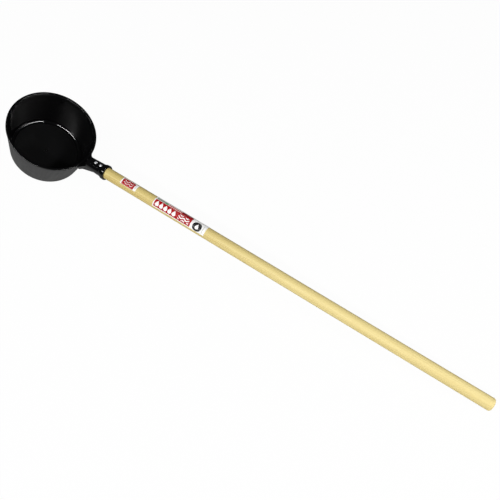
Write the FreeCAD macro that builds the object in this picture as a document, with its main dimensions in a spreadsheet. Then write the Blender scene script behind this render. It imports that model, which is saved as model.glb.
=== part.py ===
import FreeCAD, Part
import Sketcher
import math
import os

# A long-handled water dipper, in millimetres: a moulded plastic cup with a tubular socket, a wooden
# handle driven into the socket, two pan-head screws through the socket's top, and two stickers.
# Everything is drawn with the cup upright on the XY plane and the handle rising towards +X.
# Each piece then gets the same placement, which lays the dipper down as it rests on a table:
# on the heel of the cup and the underside of the handle's far end.

os.makedirs("parts", exist_ok=True)
doc = FreeCAD.newDocument("dipper")
sheet = doc.addObject("Spreadsheet::Sheet", "sizes")

SIZES = {
    "rim_radius": (90, "outside of the bead round the cup's mouth"),
    "cup_height": (100, "underside of the cup to the top of the rim"),
    "base_inset": (15, "outside of the cup's wall where it meets the ground, in from the rim's outside"),
    "wall": (2.2, "cup wall, measured level"),
    "floor_thickness": (2.4, "cup floor"),
    "bead_height": (5, "upright side of the rim bead"),
    "bead_overhang": (1, "bead beyond the outside of the wall"),
    "bead_width": (4.8, "top of the bead, from outside to inside"),
    "bead_round": (1.2, "rounding of the bead's two top edges"),
    "base_round": (4.5, "rounding of the cup's lower outside edge"),
    "floor_round": (5, "fillet between the floor and the wall, inside"),
    "foot_ring_width": (11, "flat ring that the upright cup stands on"),
    "foot_recess": (0.8, "depth of the underside inside that ring"),
    "gate_radius": (4.5, "raised disc left by the mould's gate"),
    "gate_height": (0.5, "height of that disc above the floor"),
    "pip_radius": (1.2, "pip at the disc's centre"),
    "pip_height": (1.2, "height of the pip above the floor"),
    "handle_rise": (25.7, "handle axis above the cup's level, in degrees"),
    "axis_lift": (4.3, "handle axis above the top of the rim, where it passes over the rim's outside"),
    "socket_standoff": (9.1, "closed end of the socket beyond that point, along the handle axis"),
    "socket_length": (50, "socket, from its closed end to its mouth"),
    "socket_draft": (2, "taper of the socket, inside and out, towards its closed end, in degrees"),
    "socket_wall": (1.85, "wall of the socket tube"),
    "socket_end_wall": (2, "wall of the socket's closed end"),
    "socket_end_round": (3, "rounding of the closed end's outer edge"),
    "collar_wall": (3.9, "wall of the thicker collar at the mouth"),
    "collar_length": (7.5, "collar, from its full radius to the mouth"),
    "collar_ramp": (5, "slope from the tube up to the collar"),
    "lip_round": (2, "rounding of the collar's outer lip"),
    "lip_chamfer": (0.8, "chamfer inside the mouth"),
    "web_width": (13, "gusset under the socket, side to side"),
    "web_drop": (38, "where the gusset begins on the wall, below the top of the rim"),
    "web_reach": (24, "where the gusset's lower edge meets the tube, from its closed end"),
    "web_fade": (8, "run of that edge from there into the tube's wall"),
    "web_edge_radius": (105, "hollow curve of the gusset's lower edge"),
    "web_flare": (6, "fillet between the gusset and the cup wall"),
    "shoulder_spread": (13.3, "how far each shoulder reaches out sideways from the socket"),
    "shoulder_run": (12.4, "how far out from the wall the shoulders meet the socket's sides"),
    "shoulder_hollow": (50, "hollow curve of the shoulders, seen from above"),
    "shoulder_depth": (20, "where the shoulders begin on the wall, below the top of the rim"),
    "shoulder_tuck": (4.2, "how far below the handle axis the shoulders' underside enters the tube"),
    "shoulder_drop": (1.5, "top of the shoulders below the top of the rim"),
    "handle_radius": (12.5, "wooden handle"),
    "handle_length": (909, "wooden handle, end to end"),
    "handle_end_round": (4, "rounding of the handle's free end"),
    "handle_chamfer": (1.5, "chamfer of the handle's end inside the socket"),
    "handle_clearance": (0.1, "gap between the handle and the socket's bore"),
    "screw_setback": (15.6, "nearer screw, back from the socket's mouth"),
    "screw_spacing": (12.8, "one screw to the other, along the handle"),
    "screw_radius": (1.75, "screw shank over its thread"),
    "screw_length": (16, "screw shank below its head"),
    "screw_tip": (4, "pointed end of the shank"),
    "screw_clearance": (0.25, "gap between the shank and the socket's hole"),
    "thread_pitch": (1.3, "ridge to ridge of the thread"),
    "thread_depth": (0.45, "depth of the thread"),
    "head_radius": (3.5, "pan head"),
    "head_height": (2.3, "pan head"),
    "head_round": (1.4, "rounding of the pan head's top"),
    "recess_length": (4, "cross recess, tip to tip"),
    "recess_width": (1, "cross recess, width of each slot"),
    "recess_depth": (1.4, "cross recess"),
    "near_screw_turn_angle": (20, "turn of the recess in the screw nearer the mouth, in degrees"),
    "far_screw_turn_angle": (62, "turn of the recess in the screw nearer the cup, in degrees"),
    "seat_depth": (0.5, "flat seat cut into the socket under each head"),
    "seat_clearance": (0.3, "seat beyond the head, all round"),
    "label_thickness": (0.2, "film of the two stickers"),
    "label_glue": (0.05, "glue between the film and the handle"),
    "small_label_gap": (41.5, "bare wood from the socket's mouth to the small sticker"),
    "small_label_length": (39.2, "small sticker, along the handle"),
    "small_label_wrap_angle": (78, "small sticker, degrees round the handle"),
    "small_label_turn_angle": (7, "middle of the small sticker, degrees from the handle's top"),
    "long_label_gap": (45.5, "bare wood between the two stickers"),
    "long_label_length": (126.8, "long sticker, along the handle"),
    "long_label_wrap_angle": (190, "long sticker, degrees round the handle"),
    "long_label_turn_angle": (-20, "middle of the long sticker, degrees from the handle's top"),
    "overrun": (5, "how far every cut runs past what it cuts"),
}

for row, (alias, (value, meaning)) in enumerate(SIZES.items(), 1):
    sheet.set(f"A{row}", alias)
    sheet.set(f"B{row}", str(value))
    sheet.set(f"C{row}", meaning)
    sheet.setAlias(f"B{row}", alias)
doc.recompute()


class Size:
    """A size from the sheet, or one worked out from several: its value and the expression for it."""

    def __init__(self, text, value):
        self.text = text
        self.value = value

    def __add__(self, other):
        return Size(f"({self.text} + {other.text})", self.value + other.value)

    def __sub__(self, other):
        return Size(f"({self.text} - {other.text})", self.value - other.value)

    def __mul__(self, other):
        return Size(f"({self.text} * {other.text})", self.value * other.value)

    def __truediv__(self, other):
        return Size(f"({self.text} / {other.text})", self.value / other.value)

    def __neg__(self):
        return Size(f"(-{self.text})", -self.value)

    def half(self):
        return Size(f"({self.text} / 2)", self.value / 2)


def size(alias):
    return Size(f"sizes.{alias}", float(sheet.get(alias)))


ZERO = Size("0", 0.0)
OVERRUN = size("overrun")
RISE = size("handle_rise")
DRAFT = size("socket_draft")


def cosine(angle):
    return Size(f"cos({angle.text})", math.cos(math.radians(angle.value)))


def sine(angle):
    return Size(f"sin({angle.text})", math.sin(math.radians(angle.value)))


def tangent(angle):
    return Size(f"tan({angle.text})", math.tan(math.radians(angle.value)))


BASE_RADIUS = size("rim_radius") - size("base_inset")

# The handle's axis crosses the cup's axis at this height, and places along it are measured from there.
AXIS_HEIGHT = size("cup_height") + size("axis_lift") - size("rim_radius") * tangent(RISE)
SOCKET_BACK = size("rim_radius") / cosine(RISE) + size("socket_standoff")
SOCKET_MOUTH = SOCKET_BACK + size("socket_length")
SEAT = SOCKET_BACK + size("socket_end_wall")
HANDLE_END = SEAT + size("handle_length")
WEB_REACH = SOCKET_BACK + size("web_reach")
NEAR_SCREW = SOCKET_MOUTH - size("screw_setback")
SMALL_LABEL = SOCKET_MOUTH + size("small_label_gap")
LONG_LABEL = SMALL_LABEL + size("small_label_length") + size("long_label_gap")


def on_axis(along, above):
    """Where a point of the handle's own frame lies in the cup's XZ plane."""
    x = along * cosine(RISE) - above * sine(RISE)
    z = AXIS_HEIGHT + along * sine(RISE) + above * cosine(RISE)
    return x, z


def origin_plane(body, role):
    return next(f for f in body.Origin.OriginFeatures if f.Role == role)


def blank_sketch(body, name, role):
    sketch = body.newObject("Sketcher::SketchObject", name)
    sketch.AttachmentSupport = [(origin_plane(body, role), "")]
    sketch.MapMode = "FlatFace"
    return sketch


def level_sketch(body, name, height):
    """A sketch seen from above, at a height over the XY plane."""
    sketch = blank_sketch(body, name, "XY_Plane")
    sketch.setExpression("AttachmentOffset.Base.z", height.text)
    return sketch


def side_sketch(body, name):
    """A sketch on the dipper's plane of symmetry: x level, y up."""
    return blank_sketch(body, name, "XZ_Plane")


def handle_sketch(body, name, along=ZERO, angle=RISE):
    """The same plane in the handle's frame: x along the handle from a point on its axis, y upwards."""
    sketch = blank_sketch(body, name, "XZ_Plane")
    x, z = on_axis(along, ZERO)
    sketch.AttachmentOffset = FreeCAD.Placement(
        FreeCAD.Vector(x.value, z.value, 0), FreeCAD.Rotation(FreeCAD.Vector(0, 0, 1), angle.value)
    )
    sketch.setExpression("AttachmentOffset.Base.x", x.text)
    sketch.setExpression("AttachmentOffset.Base.y", z.text)
    sketch.setExpression("AttachmentOffset.Rotation.Angle", angle.text)
    return sketch


def edge_to(start, corner):
    """The straight or round edge from one corner of an outline to the next.

    A corner is (x, y), or (x, y, radius, side) where an arc reaches it, bulging to the left or right.
    """
    a = FreeCAD.Vector(start[0].value, start[1].value, 0)
    b = FreeCAD.Vector(corner[0].value, corner[1].value, 0)
    if len(corner) == 2:
        return Part.LineSegment(a, b)
    half_chord = (b - a).Length / 2
    radius = corner[2].value
    rise = radius - math.sqrt(max(radius**2 - half_chord**2, 0))
    left = FreeCAD.Vector(a.y - b.y, b.x - a.x, 0).normalize()
    middle = (a + b) / 2 + left * (rise if corner[3] == "left" else -rise)
    return Part.Arc(a, middle, b)


def draw(sketch, corners):
    """Close an outline through corners whose places are bound to the sheet."""
    edges = [edge_to(corners[i - 1], corners[i]) for i in range(len(corners))]
    sketch.addGeometry(edges, False)
    ends = []
    for i in range(len(edges)):
        start = FreeCAD.Vector(corners[i - 1][0].value, corners[i - 1][1].value, 0)
        near = (sketch.getPoint(i, 1) - start).Length
        far = (sketch.getPoint(i, 2) - start).Length
        ends.append((1, 2) if near < far else (2, 1))
    for i, corner in enumerate(corners):
        after = (i + 1) % len(corners)
        sketch.addConstraint(Sketcher.Constraint("Coincident", i, ends[i][1], after, ends[after][0]))
        for kind, place, axis in (("DistanceX", corner[0], -2), ("DistanceY", corner[1], -1)):
            if place is ZERO:
                sketch.addConstraint(Sketcher.Constraint("PointOnObject", i, ends[i][1], axis))
            else:
                rule = Sketcher.Constraint(kind, -1, 1, i, ends[i][1], place.value)
                sketch.setExpression(f"Constraints[{sketch.addConstraint(rule)}]", place.text)
        if len(corner) == 4:
            rule = Sketcher.Constraint("Radius", i, corner[2].value)
            sketch.setExpression(f"Constraints[{sketch.addConstraint(rule)}]", corner[2].text)
    return sketch


def turned(body, kind, name, sketch, axis):
    """A Revolution or Groove all the way round an axis of its own sketch."""
    feature = body.newObject(f"PartDesign::{kind}", name)
    feature.Profile = sketch
    feature.ReferenceAxis = (sketch, [axis])
    feature.Angle = 360
    return feature


def extruded(body, kind, name, sketch, length, symmetric=False):
    """A Pad or Pocket of a named length."""
    feature = body.newObject(f"PartDesign::{kind}", name)
    feature.Profile = sketch
    feature.SideType = "Symmetric" if symmetric else "One side"
    feature.setExpression("Length", length.text)
    return feature


def ring_edges(shape, radius, height):
    """Names of the level round edges with a given radius and height, which a fillet then takes."""
    tolerance = 1e-4 * radius.value
    names = []
    for i, edge in enumerate(shape.Edges, 1):
        if not isinstance(edge.Curve, Part.Circle):
            continue
        flat = abs(abs(edge.Curve.Axis.z) - 1) < 1e-6
        fits = abs(edge.Curve.Radius - radius.value) < tolerance
        if flat and fits and abs(edge.Curve.Center.z - height.value) < tolerance:
            names.append(f"Edge{i}")
    return names


def rounded(body, name, base, rings, radius):
    """Fillet every ring of a turned shape in one go."""
    doc.recompute()
    names = [edge for ring in rings for edge in ring_edges(base.Shape, *ring)]
    feature = body.newObject("PartDesign::Fillet", name)
    feature.Base = (base, names)
    feature.setExpression("Radius", radius.text)
    return feature


def new_body(name):
    body = doc.addObject("PartDesign::Body", name)
    body.Label = name
    return body


def screw_pattern(body, name, cut, sketch):
    """Repeat the cut for the second screw, back along the handle."""
    pattern = body.newObject("PartDesign::LinearPattern", name)
    pattern.Originals = [cut]
    pattern.Direction = (sketch, ["H_Axis"])
    pattern.Reversed = True
    pattern.Occurrences = 2
    pattern.setExpression("Length", size("screw_spacing").text)
    body.Tip = pattern
    return pattern


# The screws stand square to the socket's tapered outside. The taper is zero at its mouth.
SCREW_FRAME = RISE + DRAFT
BORE_RADIUS = size("handle_radius") + size("handle_clearance")


def tapered(radius, along):
    """What a radius at the socket's mouth has shrunk to at a place further in."""
    return radius - (SOCKET_MOUTH - along) * tangent(DRAFT)


def tube_radius(along):
    """Outside of the socket tube."""
    return tapered(BORE_RADIUS + size("socket_wall"), along)


HEAD_SEAT = tube_radius(NEAR_SCREW) * cosine(DRAFT) - size("seat_depth")

WALL_TOP = size("cup_height") - size("bead_height") - size("bead_overhang")
WALL_TOP_RADIUS = size("rim_radius") - size("bead_overhang")
WALL_SLOPE = (WALL_TOP_RADIUS - BASE_RADIUS) / WALL_TOP
LIP_RADIUS = size("rim_radius") - size("bead_width")
LEDGE = size("cup_height") - size("shoulder_drop")
SHOULDER_FOOT = size("cup_height") - size("shoulder_depth")
WEB_FOOT = size("cup_height") - size("web_drop")
FLOOR = size("foot_recess") + size("floor_thickness")


def wall_radius(height):
    """Outside of the cup's wall at a height."""
    return BASE_RADIUS + WALL_SLOPE * height


def wall_face(height, sideways):
    """How far out the wall's outside is at a height, level with a point to one side."""
    radius = wall_radius(height)
    out = math.sqrt(radius.value**2 - sideways.value**2)
    return Size(f"sqrt({radius.text} ^ 2 - {sideways.text} ^ 2)", out)


def make_cup():
    """One moulding: the tapered cup, the socket tube, and the shoulders and gusset that carry the tube."""
    body = new_body("cup")
    shoulders(body)
    gusset(body)
    trim_over(body)
    bowl_outside(body)
    socket_outside(body)
    bowl_inside(body)
    socket_inside(body)
    return body


def leaning_pad(body, name, plan, height):
    """A pad that leans outwards as the cup's wall does."""
    block = extruded(body, "Pad", name, plan, height)
    block.UseCustomVector = True
    block.AlongSketchNormal = True
    block.Direction = FreeCAD.Vector(WALL_SLOPE.value, 0, 1)
    block.setExpression("Direction.x", WALL_SLOPE.text)


def shoulders(body):
    """Block as wide as the tube that spreads to the cup's wall and thins out below and to the sides."""
    foot = SHOULDER_FOOT
    half = tube_radius(SOCKET_BACK)
    spread = half + size("shoulder_spread")
    inner = BASE_RADIUS
    root = wall_face(foot, spread)
    waist = root + size("shoulder_run")
    fade_x, fade_z = on_axis(WEB_REACH, -size("shoulder_tuck"))
    plan = draw(
        level_sketch(body, "shoulder_plan", foot),
        [
            (inner, -spread),
            (root, -spread),
            (waist, -half, size("shoulder_hollow"), "left"),
            (fade_x, -half),
            (fade_x, half),
            (waist, half),
            (root, spread, size("shoulder_hollow"), "left"),
            (inner, spread),
        ],
    )
    leaning_pad(body, "shoulder_block", plan, fade_z - foot + half)

    # the flanks rise outwards, from the foot below the tube to nothing at the shoulders' tips
    flanks = draw(
        blank_sketch(body, "shoulder_flanks", "YZ_Plane"),
        [
            (-(spread + OVERRUN), foot - OVERRUN),
            (spread + OVERRUN, foot - OVERRUN),
            (spread + OVERRUN, LEDGE),
            (spread, LEDGE),
            (half, foot),
            (-half, foot),
            (-spread, LEDGE),
            (-(spread + OVERRUN), LEDGE),
        ],
    )
    extruded(body, "Pocket", "shoulder_flank_cuts", flanks, fade_x + fade_x + fade_x, symmetric=True)

    # the underside rises from the wall into the tube's side
    end_x, end_z = on_axis(SOCKET_MOUTH, -size("shoulder_tuck"))
    under = draw(
        side_sketch(body, "shoulder_underside"),
        [
            (wall_radius(foot), foot - OVERRUN),
            (wall_radius(foot), foot),
            (fade_x, fade_z),
            (end_x, end_z),
            (end_x, foot - OVERRUN),
        ],
    )
    extruded(body, "Pocket", "shoulder_under", under, spread + spread + OVERRUN, symmetric=True)


def gusset(body):
    """Upright web under the socket, flared where it meets the wall and leaning out with it."""
    half = size("web_width").half()
    flare = size("web_flare")
    foot = WEB_FOOT
    root = wall_face(foot, half + flare)
    waist = root + flare
    inner = BASE_RADIUS
    tube = tube_radius(WEB_REACH)
    reach_x, reach_z = on_axis(WEB_REACH, -tube)
    end_x, end_z = on_axis(WEB_REACH + size("web_fade"), size("socket_wall") + size("socket_wall") - tube)
    past_x, past_z = on_axis(SOCKET_MOUTH, -half)
    plan = draw(
        level_sketch(body, "web_plan", foot),
        [
            (inner, -(half + flare)),
            (root, -(half + flare)),
            (waist, -half, flare, "left"),
            (end_x, -half),
            (end_x, half),
            (waist, half),
            (root, half + flare, flare, "left"),
            (inner, half + flare),
        ],
    )
    leaning_pad(body, "web_block", plan, past_z - foot)

    # below the hollow lower edge, which runs on into the tube's wall
    under = draw(
        side_sketch(body, "web_lower_edge"),
        [
            (root, foot - OVERRUN),
            (root, foot),
            (reach_x, reach_z, size("web_edge_radius"), "left"),
            (end_x, end_z),
            (past_x, past_z),
            (past_x + past_x, past_z),
            (past_x + past_x, foot - OVERRUN),
        ],
    )
    width = size("web_width") + flare + flare + OVERRUN
    extruded(body, "Pocket", "web_under", under, width, symmetric=True)


def trim_over(body):
    """Slope the shoulders up from under the rim to the tube's back, then keep them inside the tube."""
    inner = BASE_RADIUS - OVERRUN
    back_x, back_z = on_axis(SOCKET_BACK, ZERO)
    past_x, past_z = on_axis(SOCKET_MOUTH + SOCKET_MOUTH, ZERO)
    over = draw(
        side_sketch(body, "trim_profile"),
        [
            (inner, LEDGE),
            (wall_radius(LEDGE), LEDGE),
            (back_x, back_z),
            (past_x, past_z),
            (inner, past_z),
        ],
    )
    spread = tube_radius(SOCKET_BACK) + size("shoulder_spread")
    extruded(body, "Pocket", "trim", over, spread + spread + OVERRUN, symmetric=True)


def bowl_outside(body):
    """Solid blank of the cup with its rim bead and foot ring."""
    recess_radius = BASE_RADIUS - size("base_round") - size("foot_ring_width")
    profile = draw(
        side_sketch(body, "bowl_profile"),
        [
            (ZERO, size("foot_recess")),
            (recess_radius - size("foot_recess"), size("foot_recess")),
            (recess_radius, ZERO),
            (BASE_RADIUS, ZERO),
            (WALL_TOP_RADIUS, WALL_TOP),
            (size("rim_radius"), WALL_TOP + size("bead_overhang")),
            (size("rim_radius"), size("cup_height")),
            (ZERO, size("cup_height")),
        ],
    )
    blank = turned(body, "Revolution", "bowl_blank", profile, "V_Axis")
    base = rounded(body, "base_edge", blank, [(BASE_RADIUS, ZERO)], size("base_round"))
    ring = (size("rim_radius"), size("cup_height"))
    rounded(body, "bead_outer_edge", base, [ring], size("bead_round"))


def socket_outside(body):
    """Tapered tube along the handle's axis, closed at the back, with a thicker collar at its mouth."""
    back, mouth = SOCKET_BACK, SOCKET_MOUTH
    back_round, lip = size("socket_end_round"), size("lip_round")
    collar = mouth - size("collar_length")
    ramp = collar - size("collar_ramp")
    collar_radius = BORE_RADIUS + size("collar_wall")
    profile = draw(
        handle_sketch(body, "socket_profile"),
        [
            (back, ZERO),
            (back, tube_radius(back + back_round) - back_round),
            (back + back_round, tube_radius(back + back_round), back_round, "left"),
            (ramp, tube_radius(ramp)),
            (collar, tapered(collar_radius, collar)),
            (mouth - lip, tapered(collar_radius, mouth - lip)),
            (mouth, tapered(collar_radius, mouth - lip) - lip, lip, "left"),
            (mouth, ZERO),
        ],
    )
    turned(body, "Revolution", "socket_tube", profile, "H_Axis")


def bowl_inside(body):
    """Cavity of the cup, down to the floor and the gate mark left on it."""
    gate_top = FLOOR + size("gate_height")
    pip_top = FLOOR + size("pip_height")
    lip_bottom = size("cup_height") - size("bead_height")
    lip_inset = size("bead_width") - size("bead_overhang") - size("wall")
    wall_end = lip_bottom - lip_inset
    profile = draw(
        side_sketch(body, "cavity_profile"),
        [
            (ZERO, pip_top),
            (size("pip_radius"), pip_top),
            (size("pip_radius"), gate_top),
            (size("gate_radius"), gate_top),
            (size("gate_radius"), FLOOR),
            (wall_radius(FLOOR) - size("wall"), FLOOR),
            (wall_radius(wall_end) - size("wall"), wall_end),
            (LIP_RADIUS, lip_bottom),
            (LIP_RADIUS, size("cup_height") + OVERRUN),
            (ZERO, size("cup_height") + OVERRUN),
        ],
    )
    cavity = turned(body, "Groove", "cavity", profile, "V_Axis")
    corner = (wall_radius(FLOOR) - size("wall"), FLOOR)
    floor = rounded(body, "floor_fillet", cavity, [corner], size("floor_round"))
    ring = (LIP_RADIUS, size("cup_height"))
    rounded(body, "bead_inner_edge", floor, [ring], size("bead_round"))


def socket_inside(body):
    """Tapered bore for the handle, and a seated hole through the top of the tube for each screw."""
    mouth, chamfer = SOCKET_MOUTH, size("lip_chamfer")
    bore = draw(
        handle_sketch(body, "bore_profile"),
        [
            (SEAT, ZERO),
            (SEAT, tapered(BORE_RADIUS, SEAT)),
            (mouth - chamfer, tapered(BORE_RADIUS, mouth - chamfer)),
            (mouth, BORE_RADIUS + chamfer),
            (mouth + OVERRUN, BORE_RADIUS + chamfer),
            (mouth + OVERRUN, ZERO),
        ],
    )
    turned(body, "Groove", "bore", bore, "H_Axis")
    hole_radius = size("screw_radius") + size("screw_clearance")
    seat_radius = size("head_radius") + size("seat_clearance")
    hole = draw(
        handle_sketch(body, "screw_hole_profile", NEAR_SCREW, SCREW_FRAME),
        [
            (ZERO, BORE_RADIUS.half()),
            (hole_radius, BORE_RADIUS.half()),
            (hole_radius, HEAD_SEAT),
            (seat_radius, HEAD_SEAT),
            (seat_radius, HEAD_SEAT + OVERRUN),
            (ZERO, HEAD_SEAT + OVERRUN),
        ],
    )
    cut = turned(body, "Groove", "screw_hole", hole, "V_Axis")
    screw_pattern(body, "screw_holes", cut, hole)


def make_handle():
    """Round wooden pole, its end tapered to fill the socket, rounded at its free end."""
    body = new_body("handle")
    radius, chamfer, end_round = size("handle_radius"), size("handle_chamfer"), size("handle_end_round")
    profile = draw(
        handle_sketch(body, "handle_profile"),
        [
            (SEAT, ZERO),
            (SEAT, tapered(radius, SEAT) - chamfer),
            (SEAT + chamfer, tapered(radius, SEAT + chamfer)),
            (SOCKET_MOUTH, radius),
            (HANDLE_END - end_round, radius),
            (HANDLE_END, radius - end_round, end_round, "left"),
            (HANDLE_END, ZERO),
        ],
    )
    turned(body, "Revolution", "pole", profile, "H_Axis")
    tip = HEAD_SEAT - size("screw_length")
    pilot = draw(
        handle_sketch(body, "pilot_profile", NEAR_SCREW, SCREW_FRAME),
        [
            (ZERO, tip),
            (size("screw_radius"), tip + size("screw_tip")),
            (size("screw_radius"), radius + OVERRUN),
            (ZERO, radius + OVERRUN),
        ],
    )
    cut = turned(body, "Groove", "pilot", pilot, "V_Axis")
    screw_pattern(body, "pilots", cut, pilot)
    return body


def make_screw(name):
    """Pan-head tapping screw, drawn upright with the underside of its head on the XY plane."""
    body = new_body(name)
    radius, length, tip = size("screw_radius"), size("screw_length"), size("screw_tip")
    head_radius, head_height = size("head_radius"), size("head_height")
    profile = draw(
        side_sketch(body, "screw_profile"),
        [
            (ZERO, -length),
            (radius, tip - length),
            (radius, ZERO),
            (head_radius, ZERO),
            (head_radius, head_height),
            (ZERO, head_height),
        ],
    )
    blank = turned(body, "Revolution", "screw_blank", profile, "V_Axis")
    rounded(body, "head_edge", blank, [(head_radius, head_height)], size("head_round"))

    # the cross recess, two slots that cross on the axis
    arm, slot = size("recess_length").half(), size("recess_width").half()
    cross = draw(
        level_sketch(body, "recess_plan", head_height),
        [
            (arm, -slot),
            (arm, slot),
            (slot, slot),
            (slot, arm),
            (-slot, arm),
            (-slot, slot),
            (-arm, slot),
            (-arm, -slot),
            (-slot, -slot),
            (-slot, -arm),
            (slot, -arm),
            (slot, -slot),
        ],
    )
    extruded(body, "Pocket", "recess", cross, size("recess_depth"))

    # one ridge's groove, then the rest of the thread up the shank
    pitch, depth = size("thread_pitch"), size("thread_depth")
    first = tip - length + pitch
    groove = draw(
        side_sketch(body, "thread_profile"),
        [
            (radius - depth, first),
            (radius + depth, first - depth),
            (radius + depth, first + depth),
        ],
    )
    cut = turned(body, "Groove", "thread_groove", groove, "V_Axis")
    pattern = body.newObject("PartDesign::LinearPattern", "thread")
    pattern.Originals = [cut]
    pattern.Direction = (groove, ["V_Axis"])
    ridges = f"floor(({length.text} - {tip.text}) / {pitch.text} - 1)"
    pattern.setExpression("Occurrences", ridges)
    pattern.setExpression("Length", f"{pitch.text} * ({ridges} - 1)")
    body.Tip = pattern
    return body


def make_label(name, start):
    """Sticker wrapped round the handle, drawn over its top and turned to its place later."""
    body = new_body(name)
    inside = size("handle_radius") + size("label_glue")
    outside = inside + size("label_thickness")
    end = start + size(f"{name}_length")
    profile = draw(
        handle_sketch(body, "film_profile"),
        [(start, inside), (end, inside), (end, outside), (start, outside)],
    )
    feature = turned(body, "Revolution", "film", profile, "H_Axis")
    feature.Midplane = True
    feature.setExpression("Angle", size(f"{name}_wrap_angle").text)
    return body


cup = make_cup()
handle = make_handle()
far_screw = make_screw("screw_near_cup")
near_screw = make_screw("screw_near_mouth")
small_label = make_label("small_label", SMALL_LABEL)
long_label = make_label("long_label", LONG_LABEL)
doc.recompute()

AXIS_POINT = FreeCAD.Vector(0, 0, AXIS_HEIGHT.value)
AXIS = FreeCAD.Vector(cosine(RISE).value, 0, sine(RISE).value)
UPRIGHT = FreeCAD.Vector(0, 0, 1)
ACROSS = FreeCAD.Vector(0, 1, 0)


def screw_place(back, turn):
    """Stand a screw on its seat, square to the tapered socket, with its recess turned."""
    x, z = on_axis(NEAR_SCREW, ZERO)
    x = x - back * cosine(SCREW_FRAME) - HEAD_SEAT * sine(SCREW_FRAME)
    z = z - back * sine(SCREW_FRAME) + HEAD_SEAT * cosine(SCREW_FRAME)
    lean = FreeCAD.Rotation(ACROSS, -SCREW_FRAME.value)
    turn_about_itself = FreeCAD.Rotation(UPRIGHT, size(turn).value)
    return FreeCAD.Placement(FreeCAD.Vector(x.value, 0, z.value), lean.multiply(turn_about_itself))


def label_place(name):
    """Turn a sticker round the handle's axis."""
    turn = FreeCAD.Rotation(AXIS, size(f"{name}_turn_angle").value)
    return FreeCAD.Placement(FreeCAD.Vector(), turn, AXIS_POINT)


def lie_angle():
    """Slope of the line that touches both the cup's heel and the handle's free end from below."""
    base_round, end_round = size("base_round"), size("handle_end_round")
    slope = WALL_SLOPE.value
    inset = (math.hypot(1, slope) - slope) * base_round.value
    heel_x, heel_z = BASE_RADIUS.value - inset, base_round.value
    end_x, end_z = on_axis(HANDLE_END - end_round, end_round - size("handle_radius"))
    run, rise = end_x.value - heel_x, end_z.value - heel_z
    slack = end_round.value - base_round.value
    return math.atan2(rise, run) - math.asin(slack / math.hypot(run, rise))


places = {
    cup: FreeCAD.Placement(),
    handle: FreeCAD.Placement(),
    far_screw: screw_place(size("screw_spacing"), "far_screw_turn_angle"),
    near_screw: screw_place(ZERO, "near_screw_turn_angle"),
    small_label: label_place("small_label"),
    long_label: label_place("long_label"),
}

# Lay the dipper down, then stand its box on the XY plane with the origin at the middle of its base.
lie = FreeCAD.Placement(FreeCAD.Vector(), FreeCAD.Rotation(ACROSS, math.degrees(lie_angle())))
box = FreeCAD.BoundBox()
for body, place in places.items():
    body.Placement = lie.multiply(place)
    box.add(body.Shape.optimalBoundingBox(False))
ground = FreeCAD.Placement(FreeCAD.Vector(-box.Center.x, 0, -box.ZMin), FreeCAD.Rotation())
for body in places:
    body.Placement = ground.multiply(body.Placement)
doc.recompute()

for obj in doc.Objects:
    if "Invalid" in obj.State or "Error" in obj.State:
        raise RuntimeError(f"{obj.Label} failed: {obj.State}")
for body in places:
    if body.Shape.isNull() or not body.Shape.isValid() or len(body.Shape.Solids) != 1:
        raise RuntimeError(f"{body.Label} is not one sound solid")
for body in places:
    body.Shape.exportStep(f"parts/{body.Label}.step")
    print(f"{body.Label}: {body.Shape.Volume / 1000:.2f} cm3")
print(f"lies at {math.degrees(lie_angle()):.2f} degrees, origin of the cup at {cup.Placement.Base}")
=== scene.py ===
import math

import bmesh
import bpy
from mathutils import Matrix, Vector, geometry


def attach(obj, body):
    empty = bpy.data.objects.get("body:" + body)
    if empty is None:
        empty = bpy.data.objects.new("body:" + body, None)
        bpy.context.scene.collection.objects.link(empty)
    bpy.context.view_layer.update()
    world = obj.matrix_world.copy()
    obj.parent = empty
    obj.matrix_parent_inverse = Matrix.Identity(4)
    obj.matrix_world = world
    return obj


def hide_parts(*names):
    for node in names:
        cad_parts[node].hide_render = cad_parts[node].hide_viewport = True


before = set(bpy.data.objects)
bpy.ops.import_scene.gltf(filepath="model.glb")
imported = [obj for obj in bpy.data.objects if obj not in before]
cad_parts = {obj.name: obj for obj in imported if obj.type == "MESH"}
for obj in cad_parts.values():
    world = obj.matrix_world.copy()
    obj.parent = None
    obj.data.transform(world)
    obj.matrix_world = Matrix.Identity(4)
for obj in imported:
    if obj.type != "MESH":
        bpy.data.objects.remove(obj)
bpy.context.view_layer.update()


# The view.
# The dipper lies across the table with its cup away to the left. The camera looks down on it
# from over the near side of the handle, leaning a little, as a photographer on a step would.
camera = bpy.data.objects.new("camera", bpy.data.cameras.new("camera"))
camera.data.sensor_width = 36
camera.data.lens = 37.44
camera.data.clip_start = 0.05
camera_right = Vector((0.84497, 0.53230, 0.05176))
camera_up = Vector((-0.45862, 0.67140, 0.58214))
camera_turn = Matrix((camera_right, camera_up, camera_right.cross(camera_up))).transposed()
camera.matrix_world = Matrix.Translation((0.32287, -0.51091, 0.88366)) @ camera_turn.to_4x4()
bpy.context.scene.collection.objects.link(camera)
bpy.context.scene.camera = camera
bpy.context.scene.view_settings.view_transform = "Standard"


# The cup.
# One injection moulding in black plastic: a tapered bowl with a beaded rim, and a tubular socket on
# a gusset and two shoulders. It comes out of the mould glossy inside, with a satin skin outside.
CUP_FOOT = Vector((-0.4922084, 0, 0.0361844))
CUP_TILT = math.radians(30.0197)

# radii and heights in millimetres, with the cup upright on its foot
FOOT, RIM, LIP = 75, 90, 85.2
HEIGHT, BEAD, FLOOR, WALL = 100, 94, 3.2, 2.2
WALL_SLOPE = 14 / BEAD


def wall_at(height):
    """Radius of the wall's outer face."""
    return FOOT + WALL_SLOPE * height


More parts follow.
